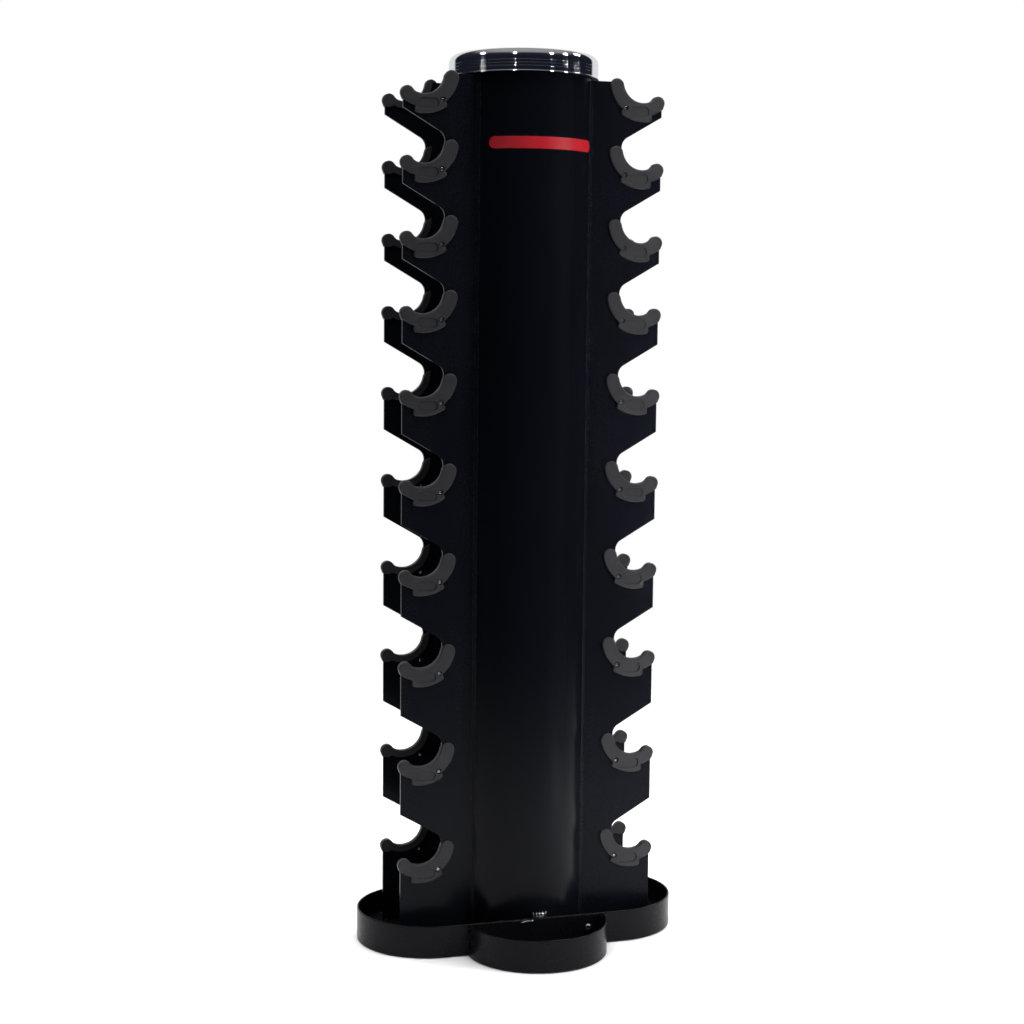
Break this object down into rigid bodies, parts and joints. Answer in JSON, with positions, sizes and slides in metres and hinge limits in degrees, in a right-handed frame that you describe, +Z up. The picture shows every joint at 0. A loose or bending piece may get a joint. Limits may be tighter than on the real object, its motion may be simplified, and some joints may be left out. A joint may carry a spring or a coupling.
{
  "type": "dumbbell rack",
  "caption": "Upright rack for short dumbbells: a round column in a low tray, with hooked plates and moulded saddle pads on both sides.",
  "frame": {"origin": "on the ground, under the middle of the column", "axes": "+Z up along the column, +X to the right across the rack, -Y is the front"},
  "size_m": [0.475, 0.409, 1.274],
  "materials": {
    "tray_steel": "gloss black paint",
    "column_steel": "gloss black paint",
    "plate_steel": "gloss black powder coat",
    "pad_plastic": "fine grained moulding",
    "cap_chrome": "polished",
    "insert_plastic": "moulded",
    "fastener_steel": "zinc plated",
    "clip_steel": "bright spring steel",
    "foot_rubber": "matte"
  },
  "bodies": {
    "root": {"main_tray": "tray_steel", "front_tray": "tray_steel", "rear_tray": "tray_steel", "tray_bolts": "fastener_steel", "tray_nuts": "fastener_steel", "tray_clips": "clip_steel", "rubber_feet": "foot_rubber", "foot_screws": "fastener_steel", "column_tube": "column_steel", "column_foot_plate": "column_steel", "column_bolts": "fastener_steel", "column_nuts": "fastener_steel", "saddle_plate_front_left": "plate_steel", "saddle_plate_front_right": "plate_steel", "saddle_plate_rear_left": "plate_steel", "saddle_plate_rear_right": "plate_steel", "plate_welds": "plate_steel", "saddle_screws": "fastener_steel", "cap_insert": "insert_plastic", "top_cap": "cap_chrome", "saddle_pad_front_left_01": "pad_plastic", "saddle_pad_front_left_02": "pad_plastic", "saddle_pad_front_left_03": "pad_plastic", "saddle_pad_front_left_04": "pad_plastic", "saddle_pad_front_left_05": "pad_plastic", "saddle_pad_front_left_06": "pad_plastic", "saddle_pad_front_left_07": "pad_plastic", "saddle_pad_front_left_08": "pad_plastic", "saddle_pad_front_left_09": "pad_plastic", "saddle_pad_front_left_10": "pad_plastic", "saddle_pad_front_right_01": "pad_plastic", "saddle_pad_front_right_02": "pad_plastic", "saddle_pad_front_right_03": "pad_plastic", "saddle_pad_front_right_04": "pad_plastic", "saddle_pad_front_right_05": "pad_plastic", "saddle_pad_front_right_06": "pad_plastic", "saddle_pad_front_right_07": "pad_plastic", "saddle_pad_front_right_08": "pad_plastic", "saddle_pad_front_right_09": "pad_plastic", "saddle_pad_front_right_10": "pad_plastic", "saddle_pad_rear_left_01": "pad_plastic", "saddle_pad_rear_left_02": "pad_plastic", "saddle_pad_rear_left_03": "pad_plastic", "saddle_pad_rear_left_04": "pad_plastic", "saddle_pad_rear_left_05": "pad_plastic", "saddle_pad_rear_left_06": "pad_plastic", "saddle_pad_rear_left_07": "pad_plastic", "saddle_pad_rear_left_08": "pad_plastic", "saddle_pad_rear_left_09": "pad_plastic", "saddle_pad_rear_left_10": "pad_plastic", "saddle_pad_rear_right_01": "pad_plastic", "saddle_pad_rear_right_02": "pad_plastic", "saddle_pad_rear_right_03": "pad_plastic", "saddle_pad_rear_right_04": "pad_plastic", "saddle_pad_rear_right_05": "pad_plastic", "saddle_pad_rear_right_06": "pad_plastic", "saddle_pad_rear_right_07": "pad_plastic", "saddle_pad_rear_right_08": "pad_plastic", "saddle_pad_rear_right_09": "pad_plastic", "saddle_pad_rear_right_10": "pad_plastic"}
  },
  "joints": []
}
